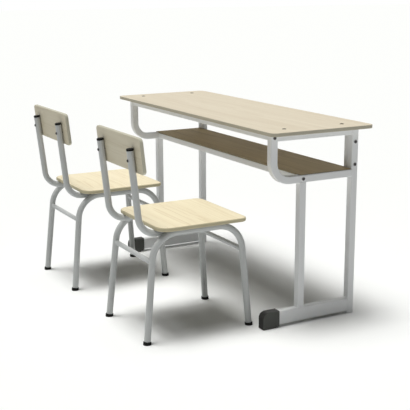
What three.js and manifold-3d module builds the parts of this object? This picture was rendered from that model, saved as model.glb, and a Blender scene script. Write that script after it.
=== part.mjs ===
import * as THREE from "three";
import { mergeVertices } from "three/addons/utils/BufferGeometryUtils.js";
import Module from "manifold-3d";

// A two-seat school desk with an under-shelf, and its two chairs.
// Millimetres, Z up. X runs along the desk, -Y is the sitters' side, the floor is z = 0.

const wasm = await Module();
wasm.setup();

// Desktop
const deskLength = 1200;
const deskDepth = 400;
const deskHeight = 666;
const topThickness = 12;
const topCornerRadius = 22;

// Side frames of square tube, each with a flat foot
const endOverhang = 55;
const frontOverhang = 30;
const rearOverhang = 24;
const frameTube = 25;
const frameWall = 1.5;
const frameCorner = 2.5;
const frameBendRadius = 60;
const shelfTubeHeight = 498;
const frontLegSetback = 125.5;
const footTubeHeight = 47;
const footLift = 9;
const footReach = 2.5;

// Plastic ends of the feet
const capLength = 64;
const capNose = 22;
const capWall = 2.5;
const capFrontRadius = 22;
const capToeRadius = 3;
const soleLength = 49;
const soleRise = 6;
const legPlate = 3;

// Rails, rear frame and shelf
const railTube = 20;
const railWall = 1.5;
const railCorner = 2;
const shelfThickness = 4.5;
const shelfPlay = 0.5;
const shelfInset = 2;
const shelfBearing = 7;
const nutDepth = 20;
const postNutWidth = 12;
const weldBite = 0.5;
const upperPostBoltHeight = 604;
const lowerPostBoltHeight = 527;

// Desk fasteners
const boltRadius = 3;
const boltHeadRadius = 5.5;
const boltHeadHeight = 3.5;
const boltReach = 17;
const topScrewRadius = 2.5;
const topScrewHeadRadius = 6.5;
const topScrewHeadDepth = 3.5;
const topScrewReach = 8;
const frontTopScrewInset = 86;
const rearTopScrewInset = 86;

// Chairs
const chairClearance = 48.5;
const chairSetback = 377;
const seatHeight = 377;
const seatWidth = 341;
const seatDepth = 322;
const seatThickness = 13;
const seatFrontRadius = 28;
const seatRearRadius = 42;
const backrestWidth = 345;
const backrestHeight = 115;
const backrestThickness = 12;
const backrestRadius = 14;
const backrestDrop = 16;

// Chair frame of round tube
const chairTubeRadius = 11;
const chairWall = 1.5;
const uprightInset = 52.5;
const uprightTop = 624;
const uprightLean = THREE.MathUtils.degToRad(6.2);
const uprightBendRadius = 60;
const uprightBendSetback = 152;
const uprightRunReach = 70;
const loopBendRadius = 88;
const rearBendSetback = 90;
const frontBendReach = 63;
const rearFootSetback = 206;
const frontFootReach = 172;
const footInset = 16.5;
const stretcherRadius = 8;
const stretcherWall = 1.2;
const stretcherHeight = 265;

// Chair plugs, feet and fasteners
const plugRim = 0.6;
const plugHeight = 7;
const plugInsert = 16;
const ferruleWall = 2;
const ferruleHeight = 10;
const ferruleSole = 4;
const backBoltDrop = 30;
const backBoltRadius = 2.5;
const backBoltHeadRadius = 5;
const backBoltHeadHeight = 3;
const backBoltReach = 8;

// Clearances and the overrun of a cut
const fit = 0.3;
const seam = 0.3;
const overrun = 10;

// Counts of the facets
const roundSides = 12;
const boreSides = 8;
const screwSides = 8;
const bendSteps = 6;
const cornerSteps = 2;
const boardCornerSteps = 5;

// Places worked out from the sizes
const quarterTurn = Math.PI / 2;
const bothSides = [-1, 1];
const sideNames = { "-1": "left", 1: "right" };
const frameFront = frontOverhang - deskDepth / 2;
const frameRear = deskDepth / 2 - rearOverhang;
const frameTop = deskHeight - topThickness;
const frameOuterX = deskLength / 2 - endOverhang;
const frameInnerX = frameOuterX - frameTube;
const frameX = frameOuterX - frameTube / 2;
const topTubeHeight = frameTop - frameTube / 2;
const uprightY = frameFront + frameTube / 2;
const rearLegY = frameRear - frameTube / 2;
const rearLegFront = frameRear - frameTube;
const frontLegY = frameFront + frontLegSetback;
const footTubeBottom = footLift;
const footTubeTop = footLift + footTubeHeight;
const footFront = frameFront - footReach;
const postX = frameInnerX - railTube / 2;
const postInnerX = frameInnerX - railTube;
const postY = rearLegFront + railTube / 2;
const shelfBottom = shelfTubeHeight + railTube / 2;
const sideTubeTop = shelfTubeHeight + frameTube / 2;
const runHeight = seatHeight - seatThickness - seam - chairTubeRadius;
const uprightHalfWidth = seatWidth / 2 - uprightInset;
const footHalfWidth = seatWidth / 2 - footInset;
const loopHalfWidth = uprightHalfWidth + 2 * chairTubeRadius + seam;
const splay = Math.atan2(footHalfWidth - loopHalfWidth, runHeight);

// Materials
const paint = (color, roughness, metalness) =>
  new THREE.MeshStandardMaterial({ color, roughness, metalness });
const laminate = paint(0xe1d7be, 0.45, 0);
const beech = paint(0xeadfc0, 0.45, 0);
const greyPaint = paint(0xb4b6b6, 0.4, 0.1);
const blackPlastic = paint(0x141414, 0.5, 0);
const charcoalPlastic = paint(0x3d3f40, 0.55, 0);
const darkSteel = paint(0x2b2a28, 0.4, 0.8);

// Solids for the booleans: vertices merged, collapsed triangles dropped
function solidOf(geometry) {
  const bare = geometry.clone();
  bare.deleteAttribute("normal");
  bare.deleteAttribute("uv");
  const merged = mergeVertices(bare);
  const index = merged.index.array;
  const kept = [];
  for (let i = 0; i < index.length; i += 3) {
    const [a, b, c] = [index[i], index[i + 1], index[i + 2]];
    if (a !== b && b !== c && c !== a) kept.push(a, b, c);
  }
  const vertProperties = new Float32Array(merged.attributes.position.array);
  return new wasm.Manifold(new wasm.Mesh({ numProp: 3, vertProperties, triVerts: new Uint32Array(kept) }));
}

function geometryOf(solid) {
  const mesh = solid.getMesh();
  const geometry = new THREE.BufferGeometry();
  geometry.setAttribute("position", new THREE.BufferAttribute(new Float32Array(mesh.vertProperties), 3));
  geometry.setIndex(new THREE.BufferAttribute(new Uint32Array(mesh.triVerts), 1));
  geometry.computeVertexNormals();
  return geometry;
}

// A piece's geometry as it lies in its group
function placedGeometry(piece) {
  piece.updateMatrix();
  return piece.geometry.clone().applyMatrix4(piece.matrix);
}

// Cuts the tools out of a piece that lies in the same group
function carve(piece, ...tools) {
  piece.updateMatrix();
  const intoPiece = piece.matrix.clone().invert();
  let solid = solidOf(piece.geometry);
  for (const tool of tools) {
    solid = solid.subtract(solidOf(placedGeometry(tool).applyMatrix4(intoPiece)));
  }
  piece.geometry = geometryOf(solid);
  return piece;
}

// Joins overlapping geometries into one body
function fuse(...geometries) {
  return geometryOf(geometries.map(solidOf).reduce((whole, next) => whole.add(next)));
}

// One piece at its place; it stays unnamed when it is only a tool
function piece(geometry, place = [0, 0, 0], turn = [0, 0, 0], material = undefined, name = "") {
  const mesh = new THREE.Mesh(geometry, material);
  mesh.position.set(...place);
  mesh.rotation.set(...turn);
  mesh.name = name;
  return mesh;
}

// Outlines
function roundedRectangle(width, height, radius, farRadius = radius) {
  const outline = new THREE.Shape();
  const [x, y] = [width / 2, height / 2];
  outline.absarc(farRadius - x, y - farRadius, farRadius, Math.PI, quarterTurn, true);
  outline.absarc(x - farRadius, y - farRadius, farRadius, quarterTurn, 0, true);
  outline.absarc(x - radius, radius - y, radius, 0, -quarterTurn, true);
  outline.absarc(radius - x, radius - y, radius, -quarterTurn, -Math.PI, true);
  return outline;
}

function rectangle(width, height) {
  const [x, y] = [width / 2, height / 2];
  const corners = [[-x, -y], [x, -y], [x, y], [-x, y]];
  return new THREE.Shape(corners.map(([u, v]) => new THREE.Vector2(u, v)));
}

function boxSection(width, height, corner, wall) {
  const outline = roundedRectangle(width, height, corner);
  outline.holes.push(rectangle(width - 2 * wall, height - 2 * wall));
  return outline;
}

function polygon(radius, sides) {
  const points = [];
  for (let i = 0; i < sides; i += 1) {
    const angle = (2 * Math.PI * i) / sides;
    points.push(new THREE.Vector2(radius * Math.cos(angle), radius * Math.sin(angle)));
  }
  return points;
}

function roundSection(radius, wall) {
  const outline = new THREE.Shape(polygon(radius, roundSides));
  if (wall > 0) outline.holes.push(new THREE.Path(polygon(radius - wall, boreSides)));
  return outline;
}

// A bent tube's path in the YZ plane, one step per straight and several per bend
class BentPath extends THREE.Curve {
  constructor(y, z, heading) {
    super();
    this.end = new THREE.Vector2(y, z);
    this.heading = heading;
    this.stations = [];
    this.mark();
  }

  mark() {
    const { x: y, y: z } = this.end;
    const along = new THREE.Vector3(0, Math.cos(this.heading), Math.sin(this.heading));
    this.stations.push({ point: new THREE.Vector3(0, y, z), along });
  }

  straight(length) {
    this.end.x += length * Math.cos(this.heading);
    this.end.y += length * Math.sin(this.heading);
    this.mark();
    return this;
  }

  // A positive angle turns from +Y towards +Z
  bend(angle, radius) {
    const side = Math.sign(angle) * quarterTurn;
    const centre = new THREE.Vector2(
      this.end.x + radius * Math.cos(this.heading + side),
      this.end.y + radius * Math.sin(this.heading + side),
    );
    for (let i = 0; i < bendSteps; i += 1) {
      this.heading += angle / bendSteps;
      this.end.x = centre.x - radius * Math.cos(this.heading + side);
      this.end.y = centre.y - radius * Math.sin(this.heading + side);
      this.mark();
    }
    return this;
  }

  get steps() {
    return this.stations.length - 1;
  }

  getPointAt(share) {
    return this.stations[Math.round(share * this.steps)].point.clone();
  }

  getTangentAt(share) {
    return this.stations[Math.round(share * this.steps)].along.clone();
  }
}

function sweep(section, path) {
  const settings = { steps: path.steps, extrudePath: path, curveSegments: cornerSteps };
  return new THREE.ExtrudeGeometry(section, settings);
}

// A straight bar or board, from z = 0 upwards
function extrude(section, depth, curveSegments = cornerSteps) {
  return new THREE.ExtrudeGeometry(section, { depth, curveSegments, bevelEnabled: false });
}

// The same, centred on its own middle
function centred(section, depth, curveSegments = cornerSteps) {
  return extrude(section, depth, curveSegments).translate(0, 0, -depth / 2);
}

function box(width, depth, height) {
  return new THREE.BoxGeometry(width, depth, height);
}

// A turned piece with its axis on Z; the profile is [radius, height] pairs from the bottom up
function turned(profile, sides) {
  const points = profile.map(([radius, height]) => new THREE.Vector2(radius, height));
  return new THREE.LatheGeometry(points, sides).rotateX(quarterTurn);
}

// A screw with a domed head; its seat is at z = 0 and its shank hangs below
function screw(radius, length, headRadius, headHeight) {
  const domeShare = 0.6;
  const profile = [
    [0, -length],
    [radius, -length],
    [radius, 0],
    [headRadius, 0],
    [headRadius * domeShare, headHeight],
    [0, headHeight],
  ];
  return turned(profile, screwSides);
}

// The hole that a screw's shank passes, on the same axis
function hole(radius, length, place, turn) {
  const wide = radius + fit;
  const bore = turned([[0, -length], [wide, -length], [wide, overrun], [0, overrun]], screwSides);
  return piece(bore, place, turn);
}

// A screw whose head is a cone that ends flush at z = 0
function flushScrew(radius, length, headRadius, headDepth) {
  const profile = [[0, -length], [radius, -length], [radius, -headDepth], [headRadius, 0], [0, 0]];
  return turned(profile, screwSides);
}

function flushHole(radius, length, headRadius, headDepth, place) {
  const [wide, mouth] = [radius + fit, headRadius + fit];
  const profile = [
    [0, -length - fit],
    [wide, -length - fit],
    [wide, -headDepth],
    [mouth, 0],
    [mouth, overrun],
    [0, overrun],
  ];
  return piece(turned(profile, screwSides), place);
}

const parts = new THREE.Group();
const desk = new THREE.Group();
parts.add(desk);

// Frame bolts: each has its place on the outer face of a side frame
const boltPlaces = {
  top_rail: [uprightY, topTubeHeight],
  shelf_rail: [frontLegY, shelfTubeHeight],
  upper_post: [rearLegY, upperPostBoltHeight],
  lower_post: [rearLegY, lowerPostBoltHeight],
};
const boltLength = frameTube + boltReach;
const railHoleLength = frameTube + nutDepth + overrun;
const boltHoles = { "-1": {}, 1: {} };
for (const side of bothSides) {
  const turn = [0, side * quarterTurn, 0];
  for (const [name, [y, z]] of Object.entries(boltPlaces)) {
    const place = [side * frameOuterX, y, z];
    const holeLength = y === rearLegY ? boltLength + fit : railHoleLength;
    boltHoles[side][name] = hole(boltRadius, holeLength, place, turn);
    desk.add(piece(
      screw(boltRadius, boltLength, boltHeadRadius, boltHeadHeight), place, turn, darkSteel,
      `${sideNames[side]}_${name}_bolt`,
    ));
  }
}

// Desktop screws, a front and a rear one over each side frame
const topScrewRows = {
  front: frontTopScrewInset - deskDepth / 2,
  rear: deskDepth / 2 - rearTopScrewInset,
};
const topScrewLength = topThickness + topScrewReach;
const topScrewHoles = [];
for (const side of bothSides) {
  for (const [row, y] of Object.entries(topScrewRows)) {
    const place = [side * frameX, y, deskHeight];
    const sizes = [topScrewRadius, topScrewLength, topScrewHeadRadius, topScrewHeadDepth];
    topScrewHoles.push(flushHole(...sizes, place));
    desk.add(piece(
      flushScrew(...sizes), place, undefined, darkSteel, `${sideNames[side]}_${row}_desktop_screw`,
    ));
  }
}

// Desktop
desk.add(carve(
  piece(
    extrude(roundedRectangle(deskLength, deskDepth, topCornerRadius), topThickness, boardCornerSteps),
    [0, 0, frameTop], undefined, laminate, "desktop",
  ),
  ...topScrewHoles,
));

// The side tube of a frame: back under the desktop, folded square, down, bent and forward to the rear leg
function sideTubeBody(section, shortening) {
  const rear = rearLegFront + shortening;
  const top = extrude(section, rear - frameFront - shortening).rotateX(-quarterTurn)
    .translate(0, frameFront + shortening, topTubeHeight);
  const path = new BentPath(uprightY, frameTop - shortening, -quarterTurn)
    .straight(frameTop - shortening - shelfTubeHeight - frameBendRadius)
    .bend(quarterTurn, frameBendRadius)
    .straight(rear - uprightY - frameBendRadius);
  return fuse(top, sweep(section, path));
}

function footCapProfile() {
  const rear = capLength;
  const top = footTubeTop + capWall;
  const outline = new THREE.Shape();
  outline.moveTo(capToeRadius, 0);
  outline.lineTo(soleLength, 0);
  outline.lineTo(soleLength, soleRise);
  outline.lineTo(rear, soleRise);
  outline.lineTo(rear, top);
  outline.absarc(capFrontRadius, top - capFrontRadius, capFrontRadius, quarterTurn, Math.PI, false);
  outline.absarc(capToeRadius, capToeRadius, capToeRadius, Math.PI, 3 * quarterTurn, false);
  return outline;
}

// Side frames
const alongY = [-quarterTurn, 0, 0];
const tubeSection = boxSection(frameTube, frameTube, frameCorner, frameWall);
const tubeOutline = roundedRectangle(frameTube, frameTube, frameCorner);
const tubeBore = rectangle(frameTube - 2 * frameWall, frameTube - 2 * frameWall);
const footMiddle = footTubeBottom + footTubeHeight / 2;
for (const side of bothSides) {
  const name = sideNames[side];
  const x = side * frameX;
  const holes = boltHoles[side];

  const bore = piece(sideTubeBody(tubeBore, frameWall), [x, 0, 0]);
  const sideTube = piece(sideTubeBody(tubeOutline, 0), [x, 0, 0], undefined, greyPaint, `${name}_side_tube`);
  desk.add(carve(sideTube, bore, holes.top_rail, holes.shelf_rail, ...topScrewHoles));

  const rearLeg = extrude(tubeSection, frameTop);
  const plate = box(frameTube - frameWall, frameTube - frameWall, legPlate).translate(0, 0, legPlate / 2);
  desk.add(carve(
    piece(fuse(rearLeg, plate), [x, rearLegY, 0], undefined, greyPaint, `${name}_rear_leg`),
    holes.upper_post, holes.lower_post,
  ));

  const frontLeg = extrude(tubeSection, shelfTubeHeight - frameTube / 2 - footTubeTop);
  desk.add(piece(frontLeg, [x, frontLegY, footTubeTop], undefined, greyPaint, `${name}_front_leg`));

  const footSection = boxSection(frameTube, footTubeHeight, frameCorner, frameWall);
  const footTube = extrude(footSection, rearLegFront - footFront);
  desk.add(piece(footTube, [x, footFront, footMiddle], alongY, greyPaint, `${name}_foot_tube`));

  const cap = piece(
    centred(footCapProfile(), frameTube + 2 * (capWall + fit), boardCornerSteps),
    [x, footFront - fit - capNose, 0], undefined, charcoalPlastic, `${name}_foot_cap`,
  );
  cap.rotation.order = "ZYX";
  cap.rotation.set(quarterTurn, 0, quarterTurn);
  const socketDepth = capLength + overrun;
  const socket = box(frameTube + 2 * fit, socketDepth, footTubeHeight + 2 * fit);
  desk.add(carve(cap, piece(socket, [x, footFront - fit + socketDepth / 2, footMiddle])));
}

// A front rail, with nuts welded into its ends
const alongX = [0, quarterTurn, 0];
const railSection = boxSection(railTube, railTube, railCorner, railWall);
const nutWidth = railTube - 2 * (railWall - weldBite);
const railLength = 2 * frameInnerX;
function railWithNuts() {
  const nuts = bothSides.map((side) =>
    box(nutWidth, nutWidth, nutDepth).translate(0, 0, (side * (railLength - nutDepth)) / 2));
  return fuse(centred(railSection, railLength), ...nuts);
}

desk.add(carve(
  piece(railWithNuts(), [0, uprightY, topTubeHeight], alongX, greyPaint, "front_top_rail"),
  ...bothSides.map((side) => boltHoles[side].top_rail),
));
desk.add(carve(
  piece(railWithNuts(), [0, frontLegY, shelfTubeHeight], alongX, greyPaint, "front_shelf_rail"),
  ...bothSides.map((side) => boltHoles[side].shelf_rail),
));

// Rear frame: two posts, a rail across their tops and one under the shelf, open into each other
const postLength = topTubeHeight - shelfTubeHeight + railTube;
function rearFrameBody(section, reach) {
  const rails = [topTubeHeight, shelfTubeHeight].map((z) =>
    centred(section, 2 * (postInnerX + reach)).rotateY(quarterTurn).translate(0, postY, z));
  const posts = bothSides.map((side) =>
    extrude(section, postLength).translate(side * postX, postY, shelfTubeHeight - railTube / 2));
  return fuse(...rails, ...posts);
}
const railOutline = roundedRectangle(railTube, railTube, railCorner);
const railBore = rectangle(railTube - 2 * railWall, railTube - 2 * railWall);
const rearFrame = carve(
  piece(rearFrameBody(railOutline, railCorner + weldBite), undefined, undefined, greyPaint, "rear_frame"),
  piece(rearFrameBody(railBore, railWall + weldBite)),
);
const postNuts = bothSides.flatMap((side) =>
  [upperPostBoltHeight, lowerPostBoltHeight].map((z) =>
    box(nutWidth, postNutWidth, nutDepth).translate(side * postX, postY, z)));
rearFrame.geometry = fuse(rearFrame.geometry, ...postNuts);
desk.add(carve(
  rearFrame, ...bothSides.flatMap((side) => [boltHoles[side].upper_post, boltHoles[side].lower_post]),
));

// Shelf board: a thin board on both rails, let in between the posts and thinned where it lies on the side tubes
const shelfMiddle = shelfBottom + shelfThickness / 2;
function shelfBox(halfWidth, front, rear) {
  return box(2 * halfWidth, rear - front, shelfThickness).translate(0, (front + rear) / 2, shelfMiddle);
}
const shelfFront = frontLegY - railTube / 2 + shelfPlay;
const shelfBoard = piece(
  fuse(
    shelfBox(frameOuterX - shelfInset, shelfFront, rearLegFront - shelfPlay),
    shelfBox(postInnerX - shelfPlay, shelfFront, rearLegFront + shelfBearing),
  ), undefined, undefined, laminate, "shelf_board",
);
const endRelief = box(frameTube + 2 * shelfPlay, deskDepth * 2, 2 * (sideTubeTop - shelfBottom));
desk.add(carve(
  shelfBoard, ...bothSides.map((side) => piece(endRelief, [side * frameX, frontLegY, shelfBottom])),
));

// A leg leaves the floor at the foot and runs tangent to the bend of its loop
function legLine(footDistance, bendDistance, height) {
  const across = footDistance - bendDistance;
  const up = height - loopBendRadius;
  const distance = Math.hypot(across, up);
  const lean = Math.acos(loopBendRadius / distance) - Math.atan2(up, across);
  return { lean, length: Math.sqrt(distance ** 2 - loopBendRadius ** 2) };
}

// Leg loop: rear leg, run under the seat and front leg, in a plane that leans out by the splay
const loopDrop = runHeight / Math.cos(splay);
const rearLine = legLine(rearFootSetback, rearBendSetback, loopDrop);
const frontLine = legLine(frontFootReach, frontBendReach, loopDrop);
function loopGeometry(section) {
  const heading = quarterTurn - rearLine.lean;
  const startY = ferruleSole * Math.cos(heading) - rearFootSetback;
  const startZ = ferruleSole * Math.sin(heading) - loopDrop;
  const path = new BentPath(startY, startZ, heading)
    .straight(rearLine.length - ferruleSole)
    .bend(-heading, loopBendRadius)
    .straight(rearBendSetback + frontBendReach)
    .bend(frontLine.lean - quarterTurn, loopBendRadius)
    .straight(frontLine.length - ferruleSole);
  return sweep(section, path);
}

// The upright tube: a run under the seat, a bend and the leaning upright
const uprightRise = uprightTop - runHeight - uprightBendRadius * (1 - Math.sin(uprightLean));
const uprightPath = () => new BentPath(uprightRunReach, runHeight, Math.PI)
  .straight(uprightRunReach + uprightBendSetback)
  .bend(uprightLean - quarterTurn, uprightBendRadius)
  .straight(uprightRise / Math.cos(uprightLean));

// A place beside the upright: so far below its top along the tube, and so far behind its axis
function besideUpright(below, behind) {
  const { x: topY, y: topZ } = uprightPath().end;
  const [sine, cosine] = [Math.sin(uprightLean), Math.cos(uprightLean)];
  return [topY + below * sine - behind * cosine, topZ - below * cosine - behind * sine];
}

function makeChair(name, x, y) {
  const chair = new THREE.Group();
  chair.position.set(x, y, 0);
  const roundTube = roundSection(chairTubeRadius, chairWall);
  const blank = roundSection(chairTubeRadius + seam, 0);
  const backTurn = [quarterTurn + uprightLean, 0, 0];
  const backGap = plugRim + seam;
  const backHoles = [];
  const legBlanks = [];
  const uprightBlanks = [];

  for (const side of bothSides) {
    const sideName = `${name}_${sideNames[side]}`;
    const uprightX = side * uprightHalfWidth;

    // Leg loop
    const loopPlace = [side * loopHalfWidth, 0, runHeight];
    const loopTurn = [0, -side * splay, 0];
    legBlanks.push(piece(loopGeometry(blank), loopPlace, loopTurn));
    chair.add(piece(loopGeometry(roundTube), loopPlace, loopTurn, greyPaint, `${sideName}_leg_loop`));

    // Upright, with the bolt that holds the backrest
    const boltLengthBack = 2 * chairTubeRadius + backGap + backBoltReach;
    const boltPlace = [uprightX, ...besideUpright(backBoltDrop, chairTubeRadius)];
    const boltHole = hole(backBoltRadius, boltLengthBack + fit, boltPlace, backTurn);
    backHoles.push(boltHole);
    chair.add(piece(
      screw(backBoltRadius, boltLengthBack, backBoltHeadRadius, backBoltHeadHeight), boltPlace, backTurn,
      darkSteel, `${sideName}_backrest_bolt`,
    ));
    uprightBlanks.push(piece(sweep(blank, uprightPath()), [uprightX, 0, 0]));
    chair.add(carve(
      piece(sweep(roundTube, uprightPath()), [uprightX, 0, 0], undefined, greyPaint, `${sideName}_upright`),
      boltHole,
    ));

    // Plug in the top of the upright
    const plugRadius = (chairTubeRadius - chairWall) * Math.cos(Math.PI / boreSides) - fit;
    const rimRadius = chairTubeRadius + plugRim;
    chair.add(piece(
      turned([
        [0, -plugInsert],
        [plugRadius, -plugInsert],
        [plugRadius, seam],
        [rimRadius, seam],
        [rimRadius, plugHeight],
        [0, plugHeight],
      ], roundSides),
      [uprightX, ...besideUpright(0, 0)], [uprightLean, 0, 0], blackPlastic, `${sideName}_upright_plug`,
    ));
  }

  // Seat, relieved where the uprights rise at its rear edge, and backrest
  const seatOutline = roundedRectangle(seatWidth, seatDepth, seatRearRadius, seatFrontRadius);
  chair.add(carve(
    piece(
      extrude(seatOutline, seatThickness, boardCornerSteps), [0, 0, seatHeight - seatThickness],
      undefined, beech, `${name}_seat`,
    ),
    ...uprightBlanks,
  ));
  const backOutline = roundedRectangle(backrestWidth, backrestHeight, backrestRadius);
  const backReach = chairTubeRadius + backGap + backrestThickness / 2;
  chair.add(carve(
    piece(
      centred(backOutline, backrestThickness, boardCornerSteps),
      [0, ...besideUpright(backrestDrop, -backReach)], backTurn, beech, `${name}_backrest`,
    ),
    ...backHoles,
  ));

  // Stretchers, shaped to the legs they meet
  const stretcherRows = {
    rear: stretcherHeight * Math.tan(rearLine.lean) - rearFootSetback,
    front: frontFootReach - stretcherHeight * Math.tan(frontLine.lean),
  };
  const stretcherSection = roundSection(stretcherRadius, stretcherWall);
  const stretcherLength = 2 * (loopHalfWidth + (runHeight - stretcherHeight) * Math.tan(splay));
  for (const [row, rowY] of Object.entries(stretcherRows)) {
    chair.add(carve(
      piece(
        centred(stretcherSection, stretcherLength), [0, rowY, stretcherHeight], alongX, greyPaint,
        `${name}_${row}_stretcher`,
      ),
      ...legBlanks,
    ));
  }

  // Feet: a cup on each leg, cut flat at the floor
  const cupRadius = chairTubeRadius + seam + ferruleWall;
  const cup = [
    [0, -ferruleHeight],
    [cupRadius, -ferruleHeight],
    [cupRadius, ferruleHeight],
    [0, ferruleHeight],
  ];
  const footRows = { rear: [-rearFootSetback, rearLine.lean], front: [frontFootReach, -frontLine.lean] };
  const floorSize = 4 * ferruleHeight;
  for (const side of bothSides) {
    for (const [row, [footY, lean]] of Object.entries(footRows)) {
      const foot = piece(
        turned(cup, roundSides), [side * footHalfWidth, footY, 0], [0, 0, 0], blackPlastic,
        `${name}_${sideNames[side]}_${row}_foot`,
      );
      foot.rotation.order = "YXZ";
      foot.rotation.set(-lean, -side * splay, 0);
      const floor = box(floorSize, floorSize, floorSize);
      chair.add(carve(foot, piece(floor, [side * footHalfWidth, footY, -floorSize / 2]), ...legBlanks));
    }
  }
  return chair;
}

const chairX = frameInnerX - footHalfWidth - chairClearance;
for (const side of bothSides) {
  parts.add(makeChair(`${sideNames[side]}_chair`, side * chairX, -chairSetback));
}

// The origin is on the floor, under the middle of the whole set
const extent = new THREE.Box3().setFromObject(parts, true);
parts.position.y = -(extent.min.y + extent.max.y) / 2;

export default parts;
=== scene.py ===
import math

import bmesh
import bpy
from mathutils import Matrix, Vector


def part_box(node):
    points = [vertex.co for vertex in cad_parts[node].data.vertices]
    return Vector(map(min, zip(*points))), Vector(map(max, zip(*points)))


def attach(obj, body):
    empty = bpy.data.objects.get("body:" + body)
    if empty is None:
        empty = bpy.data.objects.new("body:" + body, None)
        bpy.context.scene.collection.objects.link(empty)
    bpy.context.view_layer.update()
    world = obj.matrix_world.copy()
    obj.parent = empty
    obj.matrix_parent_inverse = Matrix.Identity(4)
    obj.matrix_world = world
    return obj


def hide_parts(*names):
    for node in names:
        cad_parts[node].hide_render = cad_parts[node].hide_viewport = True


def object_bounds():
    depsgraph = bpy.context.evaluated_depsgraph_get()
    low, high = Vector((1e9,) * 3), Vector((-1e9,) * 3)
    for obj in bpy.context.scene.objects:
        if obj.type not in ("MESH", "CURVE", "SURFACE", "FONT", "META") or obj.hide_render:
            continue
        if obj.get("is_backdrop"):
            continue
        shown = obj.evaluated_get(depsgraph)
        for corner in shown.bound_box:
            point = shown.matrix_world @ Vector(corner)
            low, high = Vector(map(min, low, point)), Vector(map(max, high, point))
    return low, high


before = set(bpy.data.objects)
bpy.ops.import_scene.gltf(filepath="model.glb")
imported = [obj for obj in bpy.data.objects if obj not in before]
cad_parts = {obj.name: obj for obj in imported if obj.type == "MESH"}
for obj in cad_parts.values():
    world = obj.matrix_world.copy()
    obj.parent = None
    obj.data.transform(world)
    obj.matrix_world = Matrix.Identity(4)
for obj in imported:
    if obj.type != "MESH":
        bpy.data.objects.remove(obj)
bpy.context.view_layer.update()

# The studio: a white paper floor that runs out to the background, under two lamps that stand
# almost overhead, a small one and a broad one. The camera looks down from behind the right chair.
set_middle = (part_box("desktop")[0].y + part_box("desktop")[1].y) / 2
camera_place = Vector((3.04679, -1.77289 + set_middle, 1.11731))
camera_turn, camera_dip, camera_roll = (math.radians(angle) for angle in (61.4391, 13.1371, -0.2402))
picture_width, focal_pixels = 410, 943.568

ahead = Vector((
    -math.sin(camera_turn) * math.cos(camera_dip), math.cos(camera_turn) * math.cos(camera_dip),
    -math.sin(camera_dip)))
level = Vector((math.cos(camera_turn), math.sin(camera_turn), 0))
upright = level.cross(ahead)
right = level * math.cos(camera_roll) + upright * math.sin(camera_roll)
top = upright * math.cos(camera_roll) - level * math.sin(camera_roll)
lens = bpy.data.cameras.new("studio_camera")
lens.sensor_width = 36
lens.lens = lens.sensor_width * focal_pixels / picture_width
camera = bpy.data.objects.new("studio_camera", lens)
camera.matrix_world = Matrix((
    (right.x, top.x, -ahead.x, camera_place.x), (right.y, top.y, -ahead.y, camera_place.y),
    (right.z, top.z, -ahead.z, camera_place.z), (0, 0, 0, 1)))
bpy.context.scene.collection.objects.link(camera)
bpy.context.scene.camera = camera
bpy.context.scene.view_settings.view_transform = "Standard"


def sun(name, slope, strength, spread):
    """A distant lamp; slope is how far its shadows fall along X and Y for each metre of height."""
    light = bpy.data.lights.new(name, "SUN")
    light.energy = strength
    light.angle = spread
    lamp = bpy.data.objects.new(name, light)
    lamp.rotation_euler = Vector((slope[0], slope[1], -1)).to_track_quat("-Z", "Y").to_euler()
    bpy.context.scene.collection.objects.link(lamp)


lamp_slope = (0.07, 0.11)
sun("overhead_lamp", lamp_slope, 1.2, 0.30)
sun("broad_lamp", lamp_slope, 1.95, 0.66)


def add_node(tree, kind, **inputs):
    """A shader node with settings in lower case, and inputs that are plain values or outputs of
    other nodes; slotN is its Nth input."""
    node = tree.nodes.new(kind)
    for name, value in inputs.items():
        if name.islower() and not name.startswith("slot"):
            setattr(node, name, value)
            continue
        socket = node.inputs[int(name[4:]) if name.startswith("slot") else name.replace("_", " ")]
        if isinstance(value, bpy.types.NodeSocket):
            tree.links.new(value, socket)
        else:
            socket.default_value = value
    return node


# The background is white where it is seen, mirrored or seen through glass, and hardly lights the set
fill_light, shown_white = 0.01, 1.0
world = bpy.data.worlds.new("studio")
bpy.context.scene.world = world
world.use_nodes = True
sky = world.node_tree
sky.nodes["Background"].inputs["Color"].default_value = (1, 1, 1, 1)
rays = add_node(sky, "ShaderNodeLightPath").outputs
mirrored = add_node(sky, "ShaderNodeMath", operation="MAXIMUM", slot0=rays["Is Camera Ray"],
                    slot1=rays["Is Glossy Ray"])
shown = add_node(sky, "ShaderNodeMath", operation="MAXIMUM", slot0=mirrored.outputs[0],
                 slot1=rays["Is Transmission Ray"])
brightness = add_node(sky, "ShaderNodeMapRange", Value=shown.outputs[0], To_Min=fill_light,
                      To_Max=shown_white)
sky.links.new(brightness.outputs["Result"], sky.nodes["Background"].inputs["Strength"])

# The paper is a shade whiter to the camera than in the light that it throws back
floor_reach, paper_thrown, paper_seen = 40, (0.94, 0.95, 0.95, 1), (0.985, 0.992, 0.972, 1)
floor_corners = [(floor_reach * x, floor_reach * y, 0) for x, y in ((-1, -1), (1, -1), (1, 1), (-1, 1))]
floor_mesh = bpy.data.meshes.new("studio_floor")
floor_mesh.from_pydata(floor_corners, [], [(0, 1, 2, 3)])
floor = bpy.data.objects.new("studio_floor", floor_mesh)
bpy.context.scene.collection.objects.link(floor)
paper = bpy.data.materials.new("white_paper")
paper.use_nodes = True
sheet = paper.node_tree
sheet.nodes.remove(sheet.nodes["Principled BSDF"])
shade = add_node(sheet, "ShaderNodeMix", data_type="RGBA",
                 Factor=add_node(sheet, "ShaderNodeLightPath").outputs["Is Camera Ray"],
                 A=paper_thrown, B=paper_seen)
matt = add_node(sheet, "ShaderNodeBsdfDiffuse", Color=shade.outputs["Result"])
sheet.links.new(matt.outputs[0], sheet.nodes["Material Output"].inputs["Surface"])
floor_mesh.materials.append(paper)
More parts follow.
